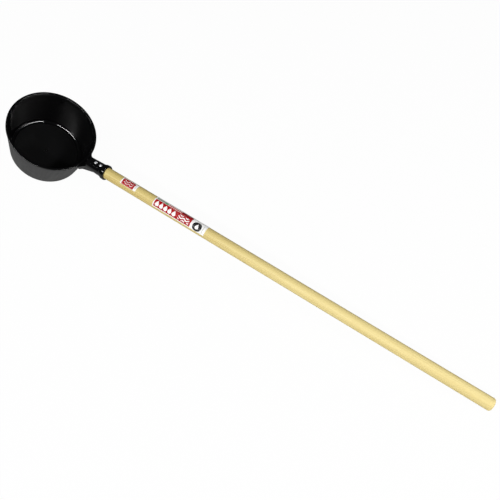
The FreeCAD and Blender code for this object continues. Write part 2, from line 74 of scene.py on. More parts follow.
def fill(tree, node, inputs):
    """Set or link a node's inputs, each given by its name or number."""
    for key, value in inputs.items():
        socket = node.inputs[key]
        if isinstance(value, bpy.types.NodeSocket):
            tree.links.new(value, socket)
        else:
            socket.default_value = value


def add(tree, kind, inputs=None, **settings):
    """Put a node in a tree, set its options, and set or link its inputs."""
    made = tree.nodes.new(kind)
    for option, value in settings.items():
        setattr(made, option, value)
    fill(tree, made, inputs or {})
    return made


def reckon(tree, operation, *values):
    """One step of arithmetic."""
    return add(tree, "ShaderNodeMath", dict(enumerate(values)), operation=operation).outputs[0]


def total(tree, first, *others):
    """Add any number of values."""
    for other in others:
        first = reckon(tree, "ADD", first, other)
    return first


def product(tree, first, *others):
    """Multiply any number of values."""
    for other in others:
        first = reckon(tree, "MULTIPLY", first, other)
    return first


def less(tree, first, second):
    """Take the second value from the first."""
    return reckon(tree, "SUBTRACT", first, second)


def span(tree, first, second):
    """The distance that two square legs span."""
    return reckon(tree, "SQRT", total(tree, product(tree, first, first), product(tree, second, second)))


def spread(tree, value, low, high, to_low=0.0, to_high=1.0):
    """Turn one range of values into another, softly at both ends."""
    inputs = {"Value": value, "From Min": low, "From Max": high, "To Min": to_low, "To Max": to_high}
    return add(tree, "ShaderNodeMapRange", inputs, interpolation_type="SMOOTHSTEP").outputs["Result"]


def axes_of(tree, vector):
    """Take a vector apart into X, Y and Z."""
    return add(tree, "ShaderNodeSeparateXYZ", {0: vector}).outputs


def mixed(tree, share, first, second):
    """Blend two colours."""
    made = add(tree, "ShaderNodeMix", {0: share, 6: first, 7: second}, data_type="RGBA")
    return made.outputs[2]


def laid_along(tree, origin, tilt):
    """Object coordinates in millimetres, seen from a point on the dipper that is tilted about Y."""
    back = Matrix.Rotation(-tilt, 3, "Y") @ origin
    place = {"Location": -1000 * back, "Rotation": (0, -tilt, 0), "Scale": (1000, 1000, 1000)}
    source = add(tree, "ShaderNodeTexCoord").outputs["Object"]
    return add(tree, "ShaderNodeMapping", {"Vector": source, **place}).outputs["Vector"]


def new_material(name):
    """A material with only its Principled BSDF and output."""
    made = bpy.data.materials.new(name)
    made.use_nodes = True
    return made, made.node_tree, made.node_tree.nodes["Principled BSDF"]


def feed(tree, shader, **sockets):
    """Set or link the shader's sockets by name, with _ for a space."""
    fill(tree, shader, {key.replace("_", " "): value for key, value in sockets.items()})


def handling_marks():
    """Shader group: the faint scuffs and dust that any surface picks up."""
    tree = bpy.data.node_groups.new("handling_marks", "ShaderNodeTree")
    for name, kind in (("Vector", "Vector"), ("Scuff Scale", "Float"), ("Dust Scale", "Float")):
        tree.interface.new_socket(name, in_out="INPUT", socket_type=f"NodeSocket{kind}")
    for name in ("Scuffs", "Dust"):
        tree.interface.new_socket(name, in_out="OUTPUT", socket_type="NodeSocketFloat")
    given = add(tree, "NodeGroupInput").outputs
    cloud = {"Vector": given["Vector"], "Scale": given["Scuff Scale"], "Detail": 6.0, "Roughness": 0.62}
    scuffs = spread(tree, add(tree, "ShaderNodeTexNoise", cloud).outputs["Fac"], 0.42, 0.72)
    cells = {"Vector": given["Vector"], "Scale": given["Dust Scale"], "Randomness": 1.0}
    speck = add(tree, "ShaderNodeTexVoronoi", cells).outputs
    lot = add(tree, "ShaderNodeSeparateColor", {0: speck["Color"]}).outputs[0]
    rare = reckon(tree, "GREATER_THAN", lot, 0.8)
    dust = product(tree, rare, spread(tree, speck["Distance"], 0.03, 0.12, 1.0, 0.0))
    add(tree, "NodeGroupOutput", {"Scuffs": scuffs, "Dust": dust})
    return tree


marks_group = handling_marks()


def marks_on(tree, vector, scuff_scale, dust_scale):
    """Place the group of handling marks, which puts out Scuffs and Dust."""
    inputs = {"Vector": vector, "Scuff Scale": scuff_scale, "Dust Scale": dust_scale}
    return add(tree, "ShaderNodeGroup", inputs, node_tree=marks_group).outputs


def black_plastic():
    """Black plastic, glossy in the bowl and satin outside, with the mould's turning marks on the floor."""
    made, tree, shader = new_material("black_plastic")
    place = laid_along(tree, CUP_FOOT, CUP_TILT)
    axes = axes_of(tree, place)
    radius = span(tree, axes[0], axes[1])
    marks = marks_on(tree, place, 0.035, 0.16)

    # the satin skin is the outer face of the bowl's wall, below the bead, and the underside
    past_middle = less(tree, radius, total(tree, product(tree, axes[2], WALL_SLOPE), FOOT - WALL / 2))
    skin = product(tree, spread(tree, past_middle, 0.1, 0.6), spread(tree, past_middle, 2.2, 1.5))
    skin = product(tree, skin, spread(tree, axes[2], BEAD + 0.2, BEAD - 0.8))
    outside = reckon(tree, "MAXIMUM", skin, spread(tree, axes[2], 2.2, 1.4))

    # the floor is duller, with fine rings round the gate
    on_floor = product(tree, spread(tree, radius, 2.0, 4.0), spread(tree, radius, 68.5, 66.0))
    on_floor = product(tree, on_floor, spread(tree, axes[2], FLOOR + 1.3, FLOOR + 0.4))
    rings = product(tree, reckon(tree, "SINE", product(tree, radius, 1.9)), on_floor)
    peel = add(tree, "ShaderNodeTexNoise", {"Vector": place, "Scale": 0.35, "Detail": 3.0}).outputs["Fac"]

    # upright drag marks on the outside, from the mould
    angle = reckon(tree, "ARCTAN2", axes[1], axes[0])
    lines = {0: product(tree, angle, 16.0), 1: product(tree, axes[2], 0.012)}
    lines = {"Vector": add(tree, "ShaderNodeCombineXYZ", lines).outputs[0], "Scale": 1.0, "Detail": 4.0}
    drag = spread(tree, add(tree, "ShaderNodeTexNoise", lines).outputs["Fac"], 0.35, 0.75)
    drag = product(tree, drag, outside)

    height = total(tree, product(tree, peel, 0.5), product(tree, rings, 0.15))
    bump = add(tree, "ShaderNodeBump", {"Strength": 0.12, "Distance": 0.0001, "Height": height})
    roughness = spread(tree, outside, 0.0, 1.0, 0.05, 0.3)
    roughness = total(tree, roughness, product(tree, marks["Scuffs"], 0.05), product(tree, drag, 0.08))
    roughness = reckon(tree, "MAXIMUM", roughness, product(tree, on_floor, 0.34))
    grey = total(tree, product(tree, drag, 0.35), product(tree, marks["Dust"], 0.5))
    colour = mixed(tree, grey, (0.0025, 0.0025, 0.0028, 1), (0.035, 0.035, 0.037, 1))

    # the rounded corner round the floor is polished the most
    above = spread(tree, axes[2], FLOOR + 0.2, FLOOR + 0.7)
    corner = product(tree, above, spread(tree, axes[2], FLOOR + 5.8, FLOOR + 3.8), less(tree, 1.0, outside))
    feed(tree, shader, Base_Color=colour, Roughness=roughness, IOR=1.5, Normal=bump.outputs[0])
    feed(tree, shader, Coat_Weight=corner, Coat_Roughness=0.05, Coat_IOR=2.0)
    return made


def node_tree(name, **inputs):
    """A Geometry Nodes tree with named inputs, each given as its kind and first value."""
    tree = bpy.data.node_groups.new(name, "GeometryNodeTree")
    for key, (kind, value) in inputs.items():
        kind = f"NodeSocket{kind}"
        made = tree.interface.new_socket(key.replace("_", " "), in_out="INPUT", socket_type=kind)
        if value is not None:
            made.default_value = value
    tree.interface.new_socket("Geometry", in_out="OUTPUT", socket_type="NodeSocketGeometry")
    return tree, add(tree, "NodeGroupInput").outputs


def finish_tree(tree, geometry, material):
    """End a tree with its real geometry and its material."""
    real = add(tree, "GeometryNodeRealizeInstances", {"Geometry": geometry}).outputs[0]
    coated = add(tree, "GeometryNodeSetMaterial", {"Geometry": real, "Material": material}).outputs[0]
    add(tree, "NodeGroupOutput", {"Geometry": coated})


def reshaped(tree, mesh, x, y, z):
    """Set a mesh's points from three numbers."""
    place = add(tree, "ShaderNodeCombineXYZ", {0: x, 1: y, 2: z}).outputs[0]
    return add(tree, "GeometryNodeSetPosition", {"Geometry": mesh, "Position": place}).outputs[0]


def shaded(build, crease):
    """Join doubles, turn the faces outwards, and shade smooth except at the creases."""
    bmesh.ops.remove_doubles(build, verts=build.verts, dist=1e-6)
    bmesh.ops.recalc_face_normals(build, faces=build.faces)
    for face in build.faces:
        face.smooth = True
        face.material_index = 0
    for edge in build.edges:
        edge.smooth = edge.is_manifold and edge.calc_face_angle() < crease


def from_tree(tree, name, crease, outline=None, **inputs):
    """Run a tree with the given inputs and keep its result as a plain mesh with soft shading."""
    made = bpy.data.objects.new(name, outline or bpy.data.meshes.new(name))
    bpy.context.scene.collection.objects.link(made)
    modifier = made.modifiers.new("shape", "NODES")
    modifier.node_group = tree
    for item in tree.interface.items_tree:
        if item.in_out == "INPUT" and item.name.replace(" ", "_") in inputs:
            modifier[item.identifier] = inputs[item.name.replace(" ", "_")]
    ready = made.evaluated_get(bpy.context.evaluated_depsgraph_get())
    mesh = bpy.data.meshes.new_from_object(ready)
    made.modifiers.remove(modifier)
    build = bmesh.new()
    build.from_mesh(mesh)
    shaded(build, crease)
    build.to_mesh(mesh)
    build.free()
    mesh.name = name
    mesh.materials.clear()
    mesh.materials.append(inputs["Material"])
    made.data = mesh
    return made


def turned_tree():
    """An outline turned round the Z axis, as the bowl's mould is."""
    tree, given = node_tree(
        "turned_outline",
        Geometry=("Geometry", None),
        Segments=("Int", 256),
        Material=("Material", None),
    )
    outline = given["Geometry"]
    count = add(tree, "GeometryNodeAttributeDomainSize", {"Geometry": outline}).outputs["Point Count"]
    columns = total(tree, given["Segments"], 1.0)
    size = {"Size X": 1.0, "Size Y": 1.0, "Vertices X": columns, "Vertices Y": count}
    sheet = add(tree, "GeometryNodeMeshGrid", size).outputs["Mesh"]
    spot = axes_of(tree, add(tree, "GeometryNodeInputPosition").outputs[0])
    row = reckon(tree, "ROUND", product(tree, total(tree, spot[1], 0.5), less(tree, count, 1.0)))
    lookup = {"Geometry": outline, "Value": add(tree, "GeometryNodeInputPosition").outputs[0], "Index": row}
    corner = add(tree, "GeometryNodeSampleIndex", lookup, data_type="FLOAT_VECTOR", domain="POINT")
    corner = axes_of(tree, corner.outputs[0])
    angle = product(tree, total(tree, spot[0], 0.5), math.tau)
    x = product(tree, corner[0], reckon(tree, "COSINE", angle))
    y = product(tree, corner[0], reckon(tree, "SINE", angle))
    finish_tree(tree, reshaped(tree, sheet, x, y, corner[2]), given["Material"])
    return tree


# radius, height and rounding of each corner, from the pip on the floor over the rim to the foot
BOWL_OUTLINE = [
    (0, 4.4, 0),
    (1.2, 4.4, 0.65),
    (1.2, 3.7, 0),
    (4.5, 3.7, 0.2),
    (4.5, FLOOR, 0),
    (wall_at(FLOOR) - WALL, FLOOR, 5),
    (wall_at(93.4) - WALL, 93.4, 0.6),
    (LIP, 95, 0.6),
    (LIP, HEIGHT, 1.2),
    (RIM, HEIGHT, 1.2),
    (RIM, 95, 0.3),
    (wall_at(BEAD), BEAD, 0),
    (FOOT, 0, 4.5),
    (59.5, 0, 0.2),
    (58.7, 0.8, 0),
    (0, 0.8, 0),
]


def rounded_outline(corners, steps=12):
    """The outline's points, with each corner rounded by its own radius."""
    points = []
    for i, (r, z, rounding) in enumerate(corners):
        here = Vector((r, z))
        if not rounding:
            points.append(here)
            continue
        before = (Vector(corners[i - 1][:2]) - here).normalized()
        after = (Vector(corners[i + 1][:2]) - here).normalized()
        half = before.angle(after) / 2
        middle = here + (before + after).normalized() * rounding / math.sin(half)
        start = here + before * rounding / math.tan(half) - middle
        sweep = start.angle_signed(here + after * rounding / math.tan(half) - middle)
        for step in range(steps + 1):
            points.append(middle + Matrix.Rotation(-sweep * step / steps, 2) @ start)
    return points


def outline_mesh(points):
    """A string of points in the XZ plane, in metres."""
    mesh = bpy.data.meshes.new("outline")
    places = [(p.x / 1000, 0, p.y / 1000) for p in points]
    mesh.from_pydata(places, [(i, i + 1) for i in range(len(places) - 1)], [])
    return mesh


def nearest_on(outline, spot):
    """Distance from a point to an outline, and the outline's direction there."""
    best = None
    for first, second in zip(outline, outline[1:]):
        share = geometry.intersect_point_line(spot, first, second)[1]
        near = first.lerp(second, min(max(share, 0), 1))
        if best is None or (near - spot).length < best[0]:
            best = (near - spot).length, (second - first).normalized()
    return best


def socket_root(to_row, rounded):
    """The socket, shoulders and gusset of the CAD cup, closed off inside the bowl's wall."""
    build = bmesh.new()
    build.from_mesh(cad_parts["cup"].data)
    bmesh.ops.remove_doubles(build, verts=build.verts, dist=1e-6)
    build.transform(to_row.inverted())
    sharp = [Vector(corner[:2]) for corner in BOWL_OUTLINE]

    def level_and_up(vector):
        return Vector((math.hypot(vector.x, vector.y), vector.z))

    away = {}
    for vert in build.verts:
        spot = level_and_up(vert.co) * 1000
        away[vert] = min(nearest_on(outline, spot)[0] for outline in (sharp, rounded))
    bowl = []
    for face in build.faces:
        if max(away[vert] for vert in face.verts) > 0.05:
            continue
        middle = face.calc_center_median() * 1000
        out = Vector((middle.x, middle.y, 0)).normalized()
        along = nearest_on(rounded, level_and_up(middle))[1]
        normal = Vector((face.normal.dot(out), face.normal.z))
        if abs(normal.cross(along)) > 0.6:
            bowl.append(face)
    bmesh.ops.delete(build, geom=bowl, context="FACES")

    # keep what hangs together with the socket's mouth
    kept, front = set(), [max(build.faces, key=lambda face: face.calc_center_median().x)]
    while front:
        face = front.pop()
        if face not in kept:
            kept.add(face)
            front += [other for edge in face.edges for other in edge.link_faces]
    bmesh.ops.delete(build, geom=[face for face in build.faces if face not in kept], context="FACES")
    bmesh.ops.delete(build, geom=[vert for vert in build.verts if not vert.link_faces], context="VERTS")

    def sink(vert):
        """Move a point level into the middle of the bowl's wall."""
        height = min(vert.co.z, (HEIGHT - 2) / 1000)
        out = Vector((vert.co.x, vert.co.y, 0)).normalized() * (wall_at(height * 1000) - WALL / 2) / 1000
        vert.co = Vector((out.x, out.y, height))

    # a skirt runs from the open edge to the middle of the wall, where a cap closes it
    bmesh.ops.remove_doubles(build, verts=[vert for vert in build.verts if vert.is_boundary], dist=3e-5)
    border = [edge for edge in build.edges if edge.is_boundary]
    skirt = bmesh.ops.extrude_edge_only(build, edges=border)["geom"]
    inner = [part for part in skirt if isinstance(part, bmesh.types.BMEdge) and part.is_boundary]
    for vert in {vert for edge in inner for vert in edge.verts}:
        sink(vert)
    cap = bmesh.ops.holes_fill(build, edges=inner, sides=0)["faces"]
    cap = bmesh.ops.triangulate(build, faces=cap)["faces"]

    # the cap's edges are cut in a fixed order, and its points follow the wall
    build.edges.index_update()
    across = {edge for face in cap for edge in face.edges} - set(inner)
    across = sorted(across, key=lambda edge: edge.index)
    cut = bmesh.ops.subdivide_edges(build, edges=across, cuts=5, use_grid_fill=True)
    for part in cut["geom_inner"]:
        if isinstance(part, bmesh.types.BMVert):
            sink(part)
    build.transform(to_row)
    return build


profile = rounded_outline(BOWL_OUTLINE)
lay_cup = Matrix.Translation(CUP_FOOT) @ Matrix.Rotation(CUP_TILT, 4, "Y")
CUP_CREASE = math.radians(24)
bowl_outline = outline_mesh(profile)
cup = from_tree(turned_tree(), "cup_moulding", CUP_CREASE, bowl_outline, Material=black_plastic())
cup.data.transform(lay_cup)
whole = socket_root(lay_cup, profile)
shaded(whole, CUP_CREASE)
whole.from_mesh(cup.data)
whole.to_mesh(cup.data)
whole.free()
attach(cup, "root")
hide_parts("cup")


# The handle.
# A plain round pole of pale softwood, turned to 25 mm, sanded and left bare, with its far end
# rounded over. Its near end is driven into the socket.
AXIS_START = Vector((-0.46169, 0, 0.08899))
AXIS_TILT = math.radians(4.3197)

# in metres, along the pole's axis from its start
POLE_START, POLE_LENGTH, POLE_RADIUS = 0.11098, 0.909, 0.0125


def pale_wood():
    """Unvarnished softwood with its fibres and growth lines running along the pole."""
    made, tree, shader = new_material("pale_wood")
    place = laid_along(tree, AXIS_START, AXIS_TILT)
    axes = axes_of(tree, place)
    long = add(tree, "ShaderNodeMapping", {"Vector": place, "Scale": (0.012, 1.0, 1.0)}).outputs["Vector"]
    warp = add(tree, "ShaderNodeTexNoise", {"Vector": long, "Scale": 0.16, "Detail": 2.0}).outputs["Fac"]
    bands = [product(tree, axes[1], 0.9), product(tree, axes[2], 0.42), product(tree, warp, 7.0)]
    rings = reckon(tree, "FRACT", product(tree, total(tree, *bands), 0.42))
    late = product(tree, spread(tree, rings, 0.25, 0.9), spread(tree, rings, 1.0, 0.93))
    fine = add(tree, "ShaderNodeMapping", {"Vector": place, "Scale": (0.02, 2.2, 2.2)}).outputs["Vector"]
    fine = {"Vector": fine, "Scale": 1.0, "Detail": 5.0, "Roughness": 0.6}
    fibres = add(tree, "ShaderNodeTexNoise", fine).outputs["Fac"]
    blotch = add(tree, "ShaderNodeTexNoise", {"Vector": long, "Scale": 0.06, "Detail": 3.0}).outputs["Fac"]
    scuffs = marks_on(tree, place, 0.02, 0.12)["Scuffs"]

    # the wood is deeper in colour near the socket and paler towards its free end
    far = spread(tree, axes[0], 150, 700)
    pale = mixed(tree, far, (0.75, 0.62, 0.235, 1), (0.86, 0.73, 0.33, 1))
    dark = mixed(tree, far, (0.53, 0.38, 0.115, 1), (0.70, 0.54, 0.2, 1))
    tone = total(
        tree,
        product(tree, late, 0.45),
        product(tree, spread(tree, fibres, 0.35, 0.7), 0.4),
        product(tree, spread(tree, blotch, 0.4, 0.75), 0.2),
        product(tree, scuffs, 0.08),
    )
    colour = mixed(tree, tone, pale, dark)
    height = total(tree, fibres, product(tree, late, 0.4))
    bump = add(tree, "ShaderNodeBump", {"Strength": 0.3, "Distance": 0.0002, "Height": height})
    roughness = spread(tree, tone, 0.0, 1.0, 0.5, 0.62)
    feed(tree, shader, Base_Color=colour, Roughness=roughness, Normal=bump.outputs[0])
    return made


def pole_tree():
    """A pole along X: its radius follows the socket's taper, the bare run and the rounded far end."""
    tree, given = node_tree(
        "turned_pole",
        Length=("Float", POLE_LENGTH),
        Radius=("Float", POLE_RADIUS),
        End_Round=("Float", 0.004),
        Chamfer=("Float", 0.0015),
        Socket_Depth=("Float", 0.048),
        Socket_Taper=("Float", 0.0349),
        Unevenness=("Float", 0.00008),
        Material=("Material", None),
    )
    size = {"Vertices": 80, "Side Segments": 240, "Radius": 1.0, "Depth": 1.0}
    blank = add(tree, "GeometryNodeMeshCylinder", size).outputs[0]
    spot = axes_of(tree, add(tree, "GeometryNodeInputPosition").outputs[0])

    # the points crowd towards both ends, where the shape changes
    along = product(tree, spread(tree, total(tree, spot[2], 0.5), 0.0, 1.0), given["Length"])
    to_end = less(tree, given["Length"], along)
    past = reckon(tree, "MAXIMUM", less(tree, given["End Round"], to_end), 0.0)
    arc = less(tree, product(tree, given["End Round"], given["End Round"]), product(tree, past, past))
    arc = reckon(tree, "SQRT", reckon(tree, "MAXIMUM", arc, 0.0))
    round_off = less(tree, given["End Round"], arc)
    chamfer = reckon(tree, "MAXIMUM", less(tree, given["Chamfer"], along), 0.0)
    inside = reckon(tree, "MAXIMUM", less(tree, given["Socket Depth"], along), 0.0)
    squeeze = product(tree, inside, given["Socket Taper"])

    # the bare run is a little uneven, as a turned stick is
    swirl = {0: product(tree, along, 16.0), 1: spot[0], 2: spot[1]}
    swirl = add(tree, "ShaderNodeCombineXYZ", swirl).outputs[0]
    uneven = add(tree, "ShaderNodeTexNoise", {"Vector": swirl, "Scale": 1.0, "Detail": 2.0}).outputs[0]
    bare = spread(tree, along, 0.05, 0.06)
    uneven = product(tree, less(tree, uneven, 0.5), given["Unevenness"], bare)
    radius = total(tree, given["Radius"], uneven)
    for loss in (round_off, chamfer, squeeze):
        radius = less(tree, radius, loss)
    side, up = (product(tree, spot[i], radius) for i in (1, 0))
    finish_tree(tree, reshaped(tree, blank, along, side, up), given["Material"])
    return tree


handle = from_tree(pole_tree(), "handle_pole", math.radians(30), Material=pale_wood())
lay_pole = Matrix.Rotation(AXIS_TILT, 4, "Y") @ Matrix.Translation((POLE_START, 0, 0))
handle.data.transform(Matrix.Translation(AXIS_START) @ lay_pole)
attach(handle, "root")
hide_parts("handle")


# The screws.
# Two bright zinc-plated tapping screws with pan heads and cross recesses, driven through the top
# of the socket into the wood.
def bright_steel():
    """Zinc plate: pale, slightly blue, brushed by the barrel that it was plated in."""
    made, tree, shader = new_material("bright_steel")
    place = laid_along(tree, AXIS_START, AXIS_TILT)
    scuffs = marks_on(tree, place, 0.9, 0.8)["Scuffs"]
    colour = mixed(tree, scuffs, (0.93, 0.94, 0.96, 1), (0.78, 0.79, 0.8, 1))
    roughness = spread(tree, scuffs, 0.0, 1.0, 0.42, 0.55)
    feed(tree, shader, Base_Color=colour, Metallic=1.0, Roughness=roughness)
    return made


def screw_tree():
    """One screw: a pan head with a cross recess, on a threaded shank with a point."""
    tree, given = node_tree(
        "pan_head_screw",
        Head_Radius=("Float", 0.0035),
        Head_Height=("Float", 0.0023),
        Squareness=("Float", 3.2),
        Recess_Length=("Float", 0.004),
        Recess_Width=("Float", 0.001),
        Recess_Depth=("Float", 0.0014),
        Shank_Radius=("Float", 0.00175),
        Shank_Length=("Float", 0.016),
        Tip=("Float", 0.004),
        Thread_Pitch=("Float", 0.0013),
        Thread_Depth=("Float", 0.00045),
        Turn=("Float", 0.0),
        Lean=("Float", 0.0),
        Place=("Vector", None),
        Material=("Material", None),
    )
    spot = axes_of(tree, add(tree, "GeometryNodeInputPosition").outputs[0])

    # the head: a ball squared off by a superellipse, and flat below
    ball = add(tree, "GeometryNodeMeshUVSphere", {"Segments": 48, "Rings": 32, "Radius": 1.0}).outputs[0]
    out = span(tree, spot[0], spot[1])
    top = reckon(tree, "MAXIMUM", spot[2], 0.0)
    powers = [reckon(tree, "POWER", side, given["Squareness"]) for side in (out, top)]
    swell = reckon(tree, "POWER", total(tree, *powers), reckon(tree, "DIVIDE", -1.0, given["Squareness"]))
    below = reckon(tree, "LESS_THAN", spot[2], 0.0)
    swell = total(tree, product(tree, swell, less(tree, 1.0, below)), below)
    wide = product(tree, swell, given["Head Radius"])
    tall = product(tree, swell, given["Head Height"], top)
    head = reshaped(tree, ball, product(tree, spot[0], wide), product(tree, spot[1], wide), tall)
    head = add(tree, "GeometryNodeMergeByDistance", {"Geometry": head, "Distance": 0.000002}).outputs[0]

    # the recess: two crossed slots, one a little deeper, so that no two faces lie in one plane
    bars = []
    lift = add(tree, "ShaderNodeCombineXYZ", {2: given["Head Height"]}).outputs[0]
    for length, width, share in (("Length", "Width", 2.0), ("Width", "Length", 1.9)):
        deep = product(tree, given["Recess Depth"], share)
        size = {0: given[f"Recess {length}"], 1: given[f"Recess {width}"], 2: deep}
        size = add(tree, "ShaderNodeCombineXYZ", size).outputs[0]
        bar = add(tree, "GeometryNodeMeshCube", {"Size": size}).outputs[0]
        bars.append(add(tree, "GeometryNodeTransform", {"Geometry": bar, "Translation": lift}).outputs[0])
    cut = add(tree, "GeometryNodeMeshBoolean", {"Mesh 1": head, "Mesh 2": bars[0]}, operation="DIFFERENCE")
    tree.links.new(bars[1], cut.inputs["Mesh 2"])

    # the shank: ridges every pitch, running out to the point
    size = {"Vertices": 24, "Side Segments": 96, "Radius": 1.0, "Depth": 1.0}
    blank = add(tree, "GeometryNodeMeshCylinder", size).outputs[0]
    down = product(tree, less(tree, 0.5, spot[2]), given["Shank Length"])
    to_tip = less(tree, given["Shank Length"], down)
    beat = reckon(tree, "FRACT", reckon(tree, "DIVIDE", down, given["Thread Pitch"]))
    valley = product(tree, reckon(tree, "ABSOLUTE", less(tree, beat, 0.5)), 2.0, given["Thread Depth"])
    girth = less(tree, given["Shank Radius"], valley)
    point = reckon(tree, "MINIMUM", reckon(tree, "DIVIDE", to_tip, given["Tip"]), 1.0)
    girth = product(tree, girth, reckon(tree, "MAXIMUM", point, 0.05))
    across, aside = (product(tree, spot[i], girth) for i in (0, 1))
    shank = reshaped(tree, blank, across, aside, product(tree, down, -1.0))

    whole = add(tree, "GeometryNodeJoinGeometry", {0: cut.outputs[0]})
    tree.links.new(shank, whole.inputs[0])
    turn = add(tree, "ShaderNodeCombineXYZ", {2: given["Turn"]}).outputs[0]
    turned = add(tree, "GeometryNodeTransform", {"Geometry": whole.outputs[0], "Rotation": turn})
    lean = add(tree, "ShaderNodeCombineXYZ", {1: given["Lean"]}).outputs[0]
    move = {"Geometry": turned.outputs[0], "Translation": given["Place"], "Rotation": lean}
    finish_tree(tree, add(tree, "GeometryNodeTransform", move).outputs[0], given["Material"])
    return tree


SCREW_LEAN = math.radians(2.3197)
SCREW_SPACING, SEAT_HEIGHT, LAST_SCREW = 0.0128, 0.013397, 0.14338
one_screw, steel = screw_tree(), bright_steel()
below_last = AXIS_START + Matrix.Rotation(AXIS_TILT, 3, "Y") @ Vector((LAST_SCREW, 0, 0))
for name, back, turn in (("screw_near_cup", SCREW_SPACING, 62), ("screw_near_mouth", 0, 20)):
    place = below_last + Matrix.Rotation(SCREW_LEAN, 3, "Y") @ Vector((-back, 0, SEAT_HEIGHT))
    inputs = {"Turn": math.radians(turn), "Lean": SCREW_LEAN, "Place": place, "Material": steel}
    screw = from_tree(one_screw, f"{name}_bright", math.radians(32), **inputs)
    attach(screw, "root")
    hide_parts(name)


# The stickers.
# Two labels of white film, printed in red, green and black, and pressed round the pole by their
# own glue. The small one is next to the socket.
GLUE, FILM, FACET_LENGTH, FACET_DEGREES = 0.05, 0.2, 4, 3


def sticker(name, start, length, low, high):
    """A curved film on the pole, with a UV map in millimetres along it and round it."""
    inner = POLE_RADIUS * 1000 + GLUE
    outer = inner + FILM
    columns, rows = int(length / FACET_LENGTH), int((high - low) / FACET_DEGREES)
    build = bmesh.new()
    layer = build.loops.layers.uv.new("print")
    tilt = Matrix.Rotation(AXIS_TILT, 3, "Y")

    def corner(s, degrees, radius):
        turn = math.radians(degrees)
        local = Vector((s, -radius * math.sin(turn), radius * math.cos(turn)))
        return AXIS_START + tilt @ local * 0.001

    places = {}
    for side, radius in enumerate((outer, inner)):
        for i in range(columns + 1):
            for j in range(rows + 1):
                degrees = low + (high - low) * j / rows
                places[side, i, j] = build.verts.new(corner(start + length * i / columns, degrees, radius))

    def panel(keys):
        face = build.faces.new([places[key] for key in keys])
        face.smooth = True
        for loop, (side, i, j) in zip(face.loops, keys):
            across = math.radians((high - low) * (j / rows - 0.5)) * outer
            loop[layer].uv = (length * i / columns, across)
        return face

    for i in range(columns):
        for j in range(rows):
            panel([(0, i, j), (0, i, j + 1), (0, i + 1, j + 1), (0, i + 1, j)])
            panel([(1, i, j), (1, i + 1, j), (1, i + 1, j + 1), (1, i, j + 1)])
    rims = []
    for i in range(columns):
        rims.append(panel([(0, i, 0), (0, i + 1, 0), (1, i + 1, 0), (1, i, 0)]))
        rims.append(panel([(0, i + 1, rows), (0, i, rows), (1, i, rows), (1, i + 1, rows)]))
    for j in range(rows):
        rims.append(panel([(0, 0, j + 1), (0, 0, j), (1, 0, j), (1, 0, j + 1)]))
        rims.append(panel([(0, columns, j), (0, columns, j + 1), (1, columns, j + 1), (1, columns, j)]))
    for face in rims:
        for edge in face.edges:
            edge.smooth = False
    bmesh.ops.recalc_face_normals(build, faces=build.faces)
    mesh = bpy.data.meshes.new(name)
    build.to_mesh(mesh)
    build.free()
    made = bpy.data.objects.new(name, mesh)
    bpy.context.scene.collection.objects.link(made)
    return made


def shape_group(name, inputs):
    """An empty shader group for one printed shape: millimetres in, mask out."""
    tree = bpy.data.node_groups.new(name, "ShaderNodeTree")
    tree.interface.new_socket("Vector", in_out="INPUT", socket_type="NodeSocketVector")
    for key in inputs:
        tree.interface.new_socket(key, in_out="INPUT", socket_type="NodeSocketFloat")
    tree.interface.new_socket("Mask", in_out="OUTPUT", socket_type="NodeSocketFloat")
    given = add(tree, "NodeGroupInput").outputs
    return tree, given, axes_of(tree, given["Vector"])


def panel_group():
    """A filled panel with round corners."""
    sizes = ("Middle X", "Middle Y", "Half Length", "Half Width", "Corner")
    tree, given, axes = shape_group("printed_panel", sizes)
    far = []
    for axis, middle, half in ((0, "Middle X", "Half Length"), (1, "Middle Y", "Half Width")):
        away = reckon(tree, "ABSOLUTE", less(tree, axes[axis], given[middle]))
        away = less(tree, away, less(tree, given[half], given["Corner"]))
        far.append(reckon(tree, "MAXIMUM", away, 0.0))
    reach = less(tree, span(tree, *far), given["Corner"])
    add(tree, "NodeGroupOutput", {"Mask": spread(tree, reach, 0.08, -0.08)})
    return tree


def drop_group():
    """A row of water drops, each with its point up, as long as the row's mask lets them show."""
    sizes = ("First X", "Middle Y", "Spacing", "Half Height")
    tree, given, axes = shape_group("printed_drops", sizes)
    steps = reckon(tree, "DIVIDE", less(tree, axes[0], given["First X"]), given["Spacing"])
    beat = reckon(tree, "FRACT", steps)
    away = product(tree, less(tree, beat, 0.5), given["Spacing"])
    up = reckon(tree, "DIVIDE", less(tree, given["Middle Y"], axes[1]), given["Half Height"])
    up = reckon(tree, "MINIMUM", reckon(tree, "MAXIMUM", up, -1.0), 1.0)
    full = reckon(tree, "SQRT", less(tree, 1.0, product(tree, up, up)))
    lean = less(tree, 0.62, product(tree, up, 0.42))
    half = product(tree, full, lean, given["Half Height"])
    reach = less(tree, reckon(tree, "ABSOLUTE", away), half)
    add(tree, "NodeGroupOutput", {"Mask": spread(tree, reach, 0.08, -0.08)})
    return tree


def wave_group():
    """Wavy lines, one over another."""
    sizes = ("Middle Y", "Spacing", "Length", "Swing", "Half Line")
    tree, given, axes = shape_group("printed_waves", sizes)
    phase = product(tree, reckon(tree, "DIVIDE", axes[0], given["Length"]), math.tau)
    swing = product(tree, reckon(tree, "SINE", phase), given["Swing"])
    high = less(tree, less(tree, axes[1], given["Middle Y"]), swing)
    beat = reckon(tree, "FRACT", total(tree, reckon(tree, "DIVIDE", high, given["Spacing"]), 0.5))
    away = product(tree, reckon(tree, "ABSOLUTE", less(tree, beat, 0.5)), given["Spacing"])
    reach = less(tree, away, given["Half Line"])
    add(tree, "NodeGroupOutput", {"Mask": spread(tree, reach, 0.08, -0.08)})
    return tree


panel_print, drop_print, wave_print = panel_group(), drop_group(), wave_group()


